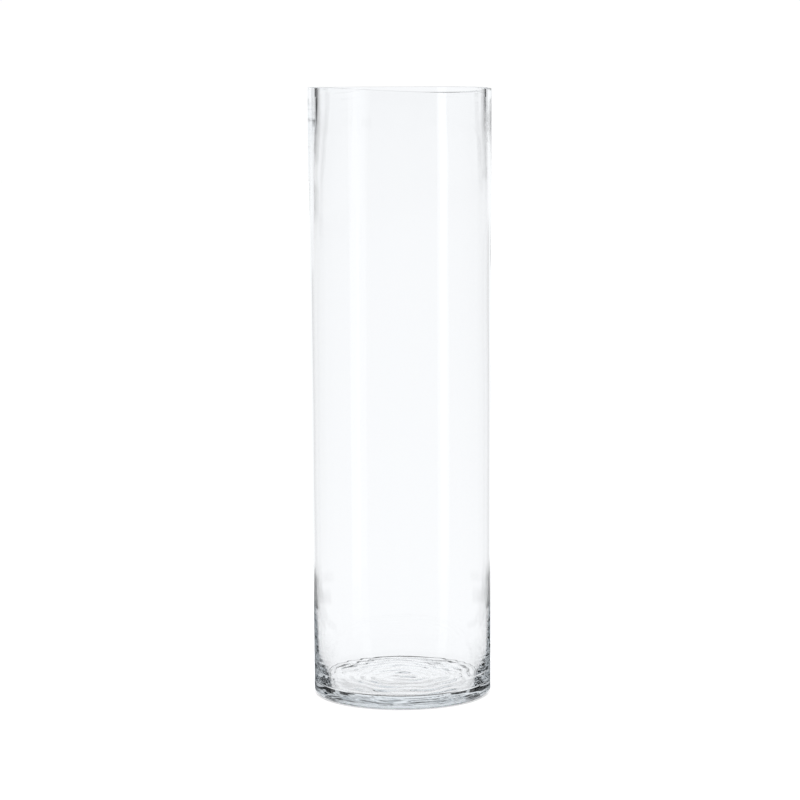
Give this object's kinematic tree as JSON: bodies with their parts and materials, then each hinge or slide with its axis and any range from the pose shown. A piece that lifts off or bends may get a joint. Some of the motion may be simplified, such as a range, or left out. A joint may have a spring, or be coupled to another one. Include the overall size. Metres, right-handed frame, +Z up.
{
  "type": "glass cylinder vase",
  "caption": "Tall straight glass cylinder vase with an open cut rim, a thin clear wall that thickens towards rim and foot, and a thick flat floor.",
  "frame": {"origin": "centre of the circle that the vase stands on, at table level", "axes": "+Z up along the vase's axis, out of the mouth; X and Y are equal, because the vase is round"},
  "size_m": [0.1519, 0.152, 0.508],
  "materials": {
    "clear_glass": "clear soda-lime glass, smooth, with fine flow waves and a rippled floor"
  },
  "bodies": {
    "root": {"vase_body": "clear_glass"}
  },
  "joints": []
}
